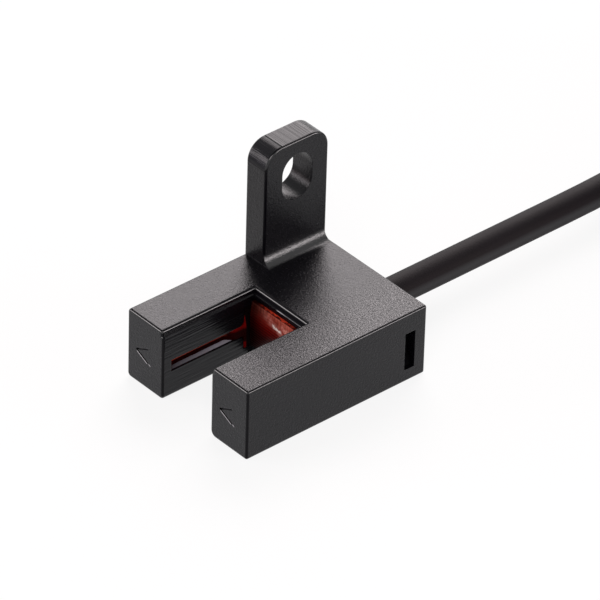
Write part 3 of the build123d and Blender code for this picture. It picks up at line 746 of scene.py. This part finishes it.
edge = add(tree, "MapRange", {"Value": facing(tree)["Z"], "From Min": 0.6, "From Max": 0.4})
wrapped = add(tree, "Math", {0: at["X"], 1: CORE_PITCH / 2 * MM}, operation="PINGPONG")
row = add(tree, "Math", {0: at["Y"], 1: PAD_Y * MM}, operation="SUBTRACT")
pad_spot = add(tree, "CombineXYZ", {"X": wrapped, "Y": row})
pads = overlap(
    tree,
    inside(tree, distance_to(tree, pad_spot, CORE_PITCH / 2, 0), -1.0, PAD_RADIUS),
    inside(tree, at["X"], -ROW_END, ROW_END),
)
tone = painted(
    tree, "#0f4a26",
    (track, "#1f6b38"),
    (edge, painted(tree, "#8e7a48", (weave.outputs["Fac"], "#b6a36c"))),
    (pads, "#c9c8c4"),
)
gloss = add(tree, "MapRange", {"Value": edge, "To Min": 0.25, "To Max": 0.7})
bump = add(tree, "Bump", {"Height": track, "Distance": 0.02 * MM})
close_finish(
    tree, board,
    {
        "Base Color": tone,
        "Metallic": pads,
        "Roughness": gloss,
        "IOR": 1.5,
        "Normal": bump,
    },
)
dress(board, "circuit_board")

# %% [markdown]
# ## Emitter and receiver
# Both are diodes cast in epoxy. The emitter's resin is clear with a faint blue, and its chip is a
# small dark square seen through the lens. The receiver's resin is dyed nearly black, so that only
# infrared light reaches its chip. Cast resin is smooth and has a slight wave from the mould.

# %% Emitter and receiver finishes
BEAM_Y = -6.5
BEAM_Z = 3.03
DIE_RADIUS = 0.22
for piece, title, deep, pale, clear in (
    ("emitter", "clear_blue_epoxy", "#5f7fa0", "#a9c2d6", 0.85),
    ("receiver", "infrared_filter_epoxy", "#0a070c", "#1b1220", 0.25),
):
    resin, tree = new_finish(title)
    spot, at = object_places(tree)
    swirl = add(tree, "TexNoise", {"Vector": spot, "Scale": per_metre(0.9), "Distortion": 1.0})
    side_view = add(tree, "CombineXYZ", {"X": at["Y"], "Y": at["Z"]})
    die = inside(tree, distance_to(tree, side_view, BEAM_Y, BEAM_Z), -1.0, DIE_RADIUS, 0.05)
    tone = painted(tree, deep, (swirl, pale), (die, "#2a2622"))
    gloss = add(tree, "MapRange", {"Value": swirl, "To Min": 0.06, "To Max": 0.16})
    bump = add(tree, "Bump", {"Height": swirl, "Distance": 0.02 * MM})
    close_finish(
        tree, resin,
        {
            "Base Color": tone,
            "Roughness": gloss,
            "IOR": 1.55,
            "Transmission Weight": clear,
            "Normal": bump,
        },
    )
    dress(resin, piece)

# %% [markdown]
# ## Tinned metal
# The diodes' leads are stamped steel strips with a matt coat of tin, whose stamped edges show fine
# lines along the strip. The solder at the cores is brighter: it froze from the outside in, which
# left it smooth with shallow ripples. Both are metals, so their IOR stays at its default and the
# base colour is the colour of the mirror image.

# %% Tinned lead finish
leads, tree = new_finish("tinned_steel_strip")
spot = add(tree, "TexCoord").outputs["Object"]
strip_spot = add(tree, "Mapping", {"Vector": spot, "Scale": (1.0, 0.08, 1.0)})
scratches = add(tree, "TexNoise", {"Vector": strip_spot, "Scale": per_metre(0.08), "Detail": 2.0})
dulling = add(tree, "TexNoise", {"Vector": spot, "Scale": per_metre(0.7), "Detail": 2.0})
tone = painted(tree, "#a3a19b", (dulling, "#d2d0cb"))
gloss = add(tree, "MapRange", {"Value": dulling, "To Min": 0.25, "To Max": 0.5})
bump = add(tree, "Bump", {"Height": scratches, "Distance": 0.006 * MM})
close_finish(
    tree, leads,
    {
        "Base Color": tone,
        "Metallic": 1.0,
        "Roughness": gloss,
        "Normal": bump,
    },
)
dress(leads, "emitter_leads", "receiver_leads")

# %% Solder finish
solder, tree = new_finish("frozen_tin_solder")
spot = add(tree, "TexCoord").outputs["Object"]
ripples = add(tree, "TexNoise", {"Vector": spot, "Scale": per_metre(0.25), "Distortion": 0.8})
tone = painted(tree, "#b9b8b6", (ripples, "#e3e2df"))
gloss = add(tree, "MapRange", {"Value": ripples, "To Min": 0.1, "To Max": 0.28})
bump = add(tree, "Bump", {"Height": ripples, "Distance": 0.02 * MM})
close_finish(
    tree, solder,
    {
        "Base Color": tone,
        "Metallic": 1.0,
        "Roughness": gloss,
        "Normal": bump,
    },
)
dress(solder, "solder_joints")

# %% [markdown]
# ## Chips on the board
# The amplifier, the output transistor and the protection diode are pressed in black epoxy filled
# with glass powder: dull, with a faint speckle. Their legs or end plates are tinned, which a mask
# draws, since in the CAD model they belong to the same solid. The amplifier has the dimple of its
# first leg and the diode the pale band of its cathode.

# %% Chip finishes
BOARD_TOP = 4.9
BOARD_UNDER = 4.3
BOARD_Y = 4.07


def distance_along(tree, value, middle):
    """How far a place is from the middle of a part, along one axis and in metres."""
    out = add(tree, "Math", {0: value, 1: middle * MM}, operation="SUBTRACT")
    return add(tree, "Math", {0: out}, operation="ABSOLUTE")


def epoxy_package(title, piece, legs_on, legs_from, legs_low, legs_high, ring=None, band=None):
    """Black epoxy with tinned legs beyond a place along one axis, and between two heights."""
    finish, tree = new_finish(title)
    spot, at = object_places(tree)
    speckle = add(tree, "TexNoise", {"Vector": spot, "Scale": per_metre(0.09), "Detail": 3.0})
    out = distance_along(tree, at[legs_on], BOARD_Y if legs_on == "Y" else 0.0)
    legs = overlap(
        tree,
        inside(tree, out, legs_from, 3.0, 0.01),
        inside(tree, at["Z"], legs_low, legs_high, 0.01),
    )
    layers = [(speckle, "#242425")]
    relief = speckle
    if ring:
        flat = add(tree, "CombineXYZ", {"X": at["X"], "Y": at["Y"]})
        dimple = inside(tree, distance_to(tree, flat, *ring), -1.0, 0.18, 0.03)
        deep = overlap(tree, dimple, 6.0)
        relief = add(tree, "Math", {0: relief, 1: deep}, operation="SUBTRACT")
    if band:
        layers.append((inside(tree, at["Y"], *band), "#b8b6b0"))
    tone = painted(tree, "#101011", *layers, (legs, "#c4c3bf"))
    gloss = add(tree, "MapRange", {"Value": legs, "To Min": 0.55, "To Max": 0.3})
    bump = add(tree, "Bump", {"Height": relief, "Distance": 0.008 * MM})
    close_finish(
        tree, finish,
        {
            "Base Color": tone,
            "Metallic": legs,
            "Roughness": gloss,
            "IOR": 1.55,
            "Normal": bump,
        },
    )
    dress(finish, piece)


epoxy_package(
    "amplifier_epoxy", "amplifier_chip",
    legs_on="X", legs_from=1.51, legs_low=BOARD_TOP - 0.1, legs_high=BOARD_TOP + 0.25,
    ring=(-1.1, BOARD_Y + 0.6),
)
epoxy_package(
    "transistor_epoxy", "output_transistor",
    legs_on="Y", legs_from=0.78, legs_low=BOARD_UNDER - 0.45, legs_high=BOARD_UNDER + 0.1,
)
epoxy_package(
    "diode_epoxy", "protection_diode",
    legs_on="Y", legs_from=0.72, legs_low=BOARD_UNDER - 0.5, legs_high=BOARD_UNDER + 0.1,
    band=(BOARD_Y + 0.35, BOARD_Y + 0.55),
)

# %% [markdown]
# ## Resistors, capacitors and the indicator
# A chip resistor is a slip of white alumina with a black glassed film on top and tinned ends. A
# chip capacitor is a tan ceramic brick with tinned ends. The indicator has a white body, a
# yellowish clear window to the front and gilt ends. All three take one recipe: a body, ends beyond
# a place along one axis, and a patch that covers part of the body.

# %% Small parts on the board
def ended_block(title, piece, axis, middle, ends_from, body, ends, patch_tone, patch_box, grain):
    """A small ceramic or plastic body with metal ends and one patch of another colour."""
    finish, tree = new_finish(title)
    spot, at = object_places(tree)
    speckle = add(tree, "TexNoise", {"Vector": spot, "Scale": per_metre(grain), "Detail": 3.0})
    plated = inside(tree, distance_along(tree, at[axis], middle), ends_from, 3.0, 0.015)
    patch = within(tree, at, patch_box)
    tone = painted(tree, body[0], (speckle, body[1]), (patch, patch_tone), (plated, ends))
    glossy = either(tree, patch, plated)
    gloss = add(tree, "MapRange", {"Value": glossy, "To Min": 0.5, "To Max": 0.25})
    bump = add(tree, "Bump", {"Height": speckle, "Distance": 0.006 * MM})
    close_finish(
        tree, finish,
        {
            "Base Color": tone,
            "Metallic": plated,
            "Roughness": gloss,
            "IOR": 1.6,
            "Normal": bump,
        },
    )
    dress(finish, piece)


ended_block(
    "glassed_film_on_alumina", "resistors", axis="Y", middle=BOARD_Y, ends_from=0.32,
    body=("#d8d6cf", "#efeee8"), ends="#c6c4be", grain=0.12,
    patch_tone="#121214", patch_box={"Z": (BOARD_TOP + 0.3, BOARD_TOP + 0.5, 0.01)},
)
ended_block(
    "fired_barium_titanate", "capacitors", axis="Y", middle=BOARD_Y, ends_from=0.52,
    body=("#8a6440", "#a67c52"), ends="#c6c4be", grain=0.12,
    patch_tone="#b08a60", patch_box={"Z": (BOARD_TOP + 0.6, BOARD_TOP + 0.9, 0.01)},
)
ended_block(
    "white_nylon_with_clear_window", "indicator_led", axis="X", middle=0.0, ends_from=0.6,
    body=("#dcd9cf", "#f1eee6"), ends="#c9a54a", grain=0.15, patch_tone="#e6d58a",
    patch_box={"X": (-0.38, 0.38, 0.01), "Z": (BOARD_UNDER - 0.64, BOARD_UNDER - 0.16, 0.01)},
)

# %% [markdown]
# ## Cores and their tips
# The four cores are insulated with coloured PVC, extruded smooth and a little glossy, with a faint
# streak along them. At the free end they are bare for 3 mm: a strand of fine tinned copper wires,
# twisted together. Slanted bands in the bump draw the twist.

# %% Core finishes
for shade, dark, light in (
    ("brown", "#3c1e10", "#512a17"),
    ("black", "#0c0c0d", "#171718"),
    ("white", "#c9c7c1", "#e4e2dc"),
    ("blue", "#123a78", "#1c4d96"),
):
    insulation, tree = new_finish(shade + "_pvc_insulation")
    spot = add(tree, "TexCoord").outputs["Object"]
    streaks = add(tree, "TexNoise", {"Vector": spot, "Scale": per_metre(1.2), "Detail": 2.0})
    skin = add(tree, "TexNoise", {"Vector": spot, "Scale": per_metre(0.15), "Detail": 2.0})
    tone = painted(tree, dark, (streaks, light))
    gloss = add(tree, "MapRange", {"Value": streaks, "To Min": 0.3, "To Max": 0.42})
    bump = add(tree, "Bump", {"Height": skin, "Distance": 0.004 * MM})
    close_finish(
        tree, insulation,
        {
            "Base Color": tone,
            "Roughness": gloss,
            "IOR": 1.53,
            "Normal": bump,
        },
    )
    dress(insulation, "core_" + shade, "end_core_" + shade)

# %% Tinned copper strand finish
strand, tree = new_finish("tinned_copper_strand")
spot = add(tree, "TexCoord").outputs["Object"]
wires = add(
    tree, "TexWave",
    {"Vector": spot, "Scale": per_metre(0.12) * WAVE_PITCH, "Distortion": 0.5},
    bands_direction="DIAGONAL",
)
tone = painted(tree, "#8f8a82", (wires.outputs["Fac"], "#dcd9d2"))
gloss = add(tree, "MapRange", {"Value": wires.outputs["Fac"], "To Min": 0.4, "To Max": 0.2})
bump = add(tree, "Bump", {"Height": wires.outputs["Fac"], "Distance": 0.03 * MM})
close_finish(
    tree, strand,
    {
        "Base Color": tone,
        "Metallic": 1.0,
        "Roughness": gloss,
        "Normal": bump,
    },
)
dress(strand, "core_tips")

# %% [markdown]
# ## Clamp and sealing resin
# A brass sleeve is crimped on the jacket behind the back wall, so that a pull on the cable doesn't
# reach the solder. The crimping jaws leave lines along it, and brass tarnishes to brown in the
# hollows. Around it a black two-part resin keeps water out: glossy, with tiny bubbles at its skin.

# %% Clamp finish
JAW_LINES = 24
brass, tree = new_finish("crimped_brass")
spot, at = object_places(tree)
above = add(tree, "Math", {0: at["Z"], 1: EXIT[2] * MM}, operation="SUBTRACT")
around = add(tree, "CombineXYZ", {"X": at["X"], "Y": above})
angle = add(tree, "TexGradient", {"Vector": around}, gradient_type="RADIAL")
jaws = add(tree, "Math", {0: angle.outputs["Fac"], 1: JAW_LINES * math.tau}, operation="MULTIPLY")
jaws = add(tree, "Math", {0: jaws}, operation="SINE")
tarnish = add(tree, "TexNoise", {"Vector": spot, "Scale": per_metre(0.6), "Detail": 3.0})
tone = painted(tree, "#8a6a2c", (tarnish, "#c9a356"))
gloss = add(tree, "MapRange", {"Value": tarnish, "To Min": 0.45, "To Max": 0.25})
bump = add(tree, "Bump", {"Height": jaws, "Distance": 0.02 * MM})
close_finish(
    tree, brass,
    {
        "Base Color": tone,
        "Metallic": 1.0,
        "Roughness": gloss,
        "Normal": bump,
    },
)
dress(brass, "cable_clamp")

# %% Sealing resin finish
seal, tree = new_finish("poured_black_epoxy")
spot = add(tree, "TexCoord").outputs["Object"]
bubbles = add(tree, "TexVoronoi", {"Vector": spot, "Scale": per_metre(0.6)}, feature="F1")
bubble = add(tree, "MapRange", {"Value": bubbles, "From Min": 0.1, "From Max": 0.22})
sag = add(tree, "TexNoise", {"Vector": spot, "Scale": per_metre(2.0)})
tone = painted(tree, "#0b0b0a", (sag, "#1a1815"))
gloss = add(tree, "MapRange", {"Value": sag, "To Min": 0.1, "To Max": 0.25})
relief = add(tree, "Math", {0: bubble, 1: sag}, operation="ADD")
bump = add(tree, "Bump", {"Height": relief, "Distance": 0.03 * MM})
close_finish(
    tree, seal,
    {
        "Base Color": tone,
        "Roughness": gloss,
        "IOR": 1.55,
        "Normal": bump,
    },
)
dress(seal, "cable_seal")

# %% [markdown]
# ## Cable jacket
# The jacket is extruded from black PVC, soft and almost smooth, with a dull sheen. Its upper side
# mirrors less than its foot, a painted shade that the specular tint gives by how far the surface
# faces up. Its skin has a fine haze of pores, and the colour is hardly uneven.

# %% Cable jacket finish
jacket, tree = new_finish("extruded_black_pvc")
spot = add(tree, "TexCoord").outputs["Object"]
skin = add(tree, "TexNoise", {"Vector": spot, "Scale": per_metre(0.3), "Detail": 2.0})
clouds = add(tree, "TexNoise", {"Vector": spot, "Scale": per_metre(5.0)})
tone = painted(tree, "#0b0a0d", (clouds, "#110f13"))
# Painted shade: the upper side mirrors less.
upward = add(tree, "MapRange", {"Value": facing(tree)["Z"], "From Min": 0.05, "From Max": 0.4})
painted_mirror_shading = painted(tree, "#ffffff", (upward, "#7c6c65"))
gloss = add(tree, "MapRange", {"Value": clouds, "To Min": 0.6, "To Max": 0.68})
bump = add(tree, "Bump", {"Height": skin, "Distance": 0.004 * MM})
close_finish(
    tree, jacket,
    {
        "Base Color": tone,
        "Roughness": gloss,
        "IOR": 1.53,
        "Specular IOR Level": 0.3,
        "Specular Tint": painted_mirror_shading,
        "Normal": bump,
    },
)
dress(jacket, cable)

# %% [markdown]
# ## Tie
# The coil is held by a strap of black nylon with teeth on its outside, 0.6 mm apart. The teeth go
# across the strap, so on its upright runs they follow the height, and on top they follow the
# distance from the coil's middle. The sum of both draws them all the way round.

# %% Tie finish
TOOTH_PITCH = 0.6
tie, tree = new_finish("toothed_black_nylon")
spot, at = object_places(tree)
flat = add(tree, "CombineXYZ", {"X": at["X"], "Y": at["Y"]})
away = distance_to(tree, flat, COIL_X, COIL_Y)
along = add(tree, "Math", {0: away, 1: at["Z"]}, operation="ADD")
teeth = add(tree, "Math", {0: along, 1: per_metre(TOOTH_PITCH) * math.tau}, operation="MULTIPLY")
teeth = add(tree, "Math", {0: teeth}, operation="SINE")
skin = add(tree, "TexNoise", {"Vector": spot, "Scale": per_metre(0.5), "Detail": 2.0})
tone = painted(tree, "#0d0d0e", (skin, "#19191a"))
gloss = add(tree, "MapRange", {"Value": skin, "To Min": 0.38, "To Max": 0.5})
bump = add(tree, "Bump", {"Height": teeth, "Distance": 0.05 * MM})
close_finish(
    tree, tie,
    {
        "Base Color": tone,
        "Roughness": gloss,
        "IOR": 1.53,
        "Normal": bump,
    },
)
dress(tie, "coil_tie")

# %% [markdown]
# ## Floor
# In the photograph the sensor stands on plain white with hardly any shadow. The floor is therefore
# part matt white, which takes the object's shadow, and part plain glow, which the Light Path node
# shows only to the camera and to mirror-like rays, so that the glow lights nothing. It lies a
# hundredth of a millimetre under the object: two surfaces at one height would flicker in the
# render.

# %% Floor
FLOOR_SIDE = 3.0
LOW = -0.01 * MM
GLOW_SHARE = 0.85


def seen_directly(tree):
    """One for the rays that show a thing: the camera's, mirrored ones and those through glass."""
    path = add(tree, "LightPath").outputs
    return either(tree, path["Is Camera Ray"], path["Is Glossy Ray"], path["Is Transmission Ray"])


floor_mesh = bpy.data.meshes.new("floor")
half = FLOOR_SIDE / 2
floor_mesh.from_pydata(
    [(-half, -half, LOW), (half, -half, LOW), (half, half, LOW), (-half, half, LOW)],
    [],
    [(0, 1, 2, 3)],
)
floor = bpy.data.objects.new("floor", floor_mesh)
bpy.context.scene.collection.objects.link(floor)
paper, tree = new_finish("white_paper")
share = overlap(tree, seen_directly(tree), GLOW_SHARE)
matt = add(tree, "BsdfDiffuse", {"Color": colour("#f4f4f4")})
bright = add(tree, "Emission", {"Color": (1, 1, 1, 1), "Strength": 1.0})
paper_mix = add(tree, "MixShader", {0: share, 1: matt, 2: bright})
add(tree, "OutputMaterial", {"Surface": paper_mix})
floor_mesh.materials.append(paper)
paper.cycles.emission_sampling = "NONE"
print("floor:", FLOOR_SIDE, "m wide")

# %% [markdown]
# ## Backdrop
# Behind the floor there is only a white world. It shows as white to the camera and in reflections,
# and gives a weak even light to everything else, so that no shadow is quite black.

# %% Backdrop and world light
EVEN_LIGHT = 0.22
world = bpy.data.worlds.new("studio")
bpy.context.scene.world = world
world.use_nodes = True
tree = world.node_tree
tree.nodes.clear()
shown = seen_directly(tree)
strength = add(tree, "MapRange", {"Value": shown, "To Min": EVEN_LIGHT, "To Max": 1.0})
sky = add(tree, "Background", {"Color": (1, 1, 1, 1), "Strength": strength})
add(tree, "OutputWorld", {"Surface": sky})
world.cycles.sampling_method = "NONE"
print("even light from all round:", EVEN_LIGHT)

# %% [markdown]
# ## Lamps
# Black plastic is drawn by what it mirrors, so each lamp has a face to show up in. The rear softbox
# is mirrored by the top faces, and ends where they turn dark towards the tab. The two strips stand
# low beside the object and draw the bright line along its rounded edges. The front softbox is
# mirrored by nothing that the camera sees, and lights the red insert in the slot. Radiance times
# area gives a lamp's power, so a lamp can be resized and still look equally bright.

# %% Lamps
WARM_WHITE = (1.0, 0.925, 0.935)


def softbox(name, direction, distance, wide, high, radiance):
    """A rectangular lamp that faces the object from a direction."""
    lamp = bpy.data.lights.new(name, "AREA")
    lamp.shape = "RECTANGLE"
    lamp.size = wide
    lamp.size_y = high
    lamp.energy = radiance * math.pi * wide * high
    lamp.color = WARM_WHITE
    made = bpy.data.objects.new(name, lamp)
    bpy.context.scene.collection.objects.link(made)
    towards = Vector(direction).normalized()
    made.location = AIM + distance * towards
    made.rotation_mode = "QUATERNION"
    made.rotation_quaternion = towards.to_track_quat("Z", "Y")
    print("lamp:", name, round(lamp.energy, 2), "W")


softbox("rear_softbox", (-0.5, 0.62, 0.62), distance=0.6, wide=0.46, high=0.46, radiance=5.4)
softbox("left_strip", (-0.607, -0.78, 0.2), distance=0.6, wide=0.45, high=0.2, radiance=9.0)
softbox("right_strip", (0.8, 0.54, 0.2), distance=0.6, wide=0.45, high=0.16, radiance=10.0)
softbox("front_softbox", (0.55, -0.6, 0.7), distance=0.9, wide=0.45, high=0.45, radiance=5.0)

# %% [markdown]
# ## Colour
# The Standard view shows a colour as it is written.

# %% Colour management
bpy.context.scene.view_settings.view_transform = "Standard"
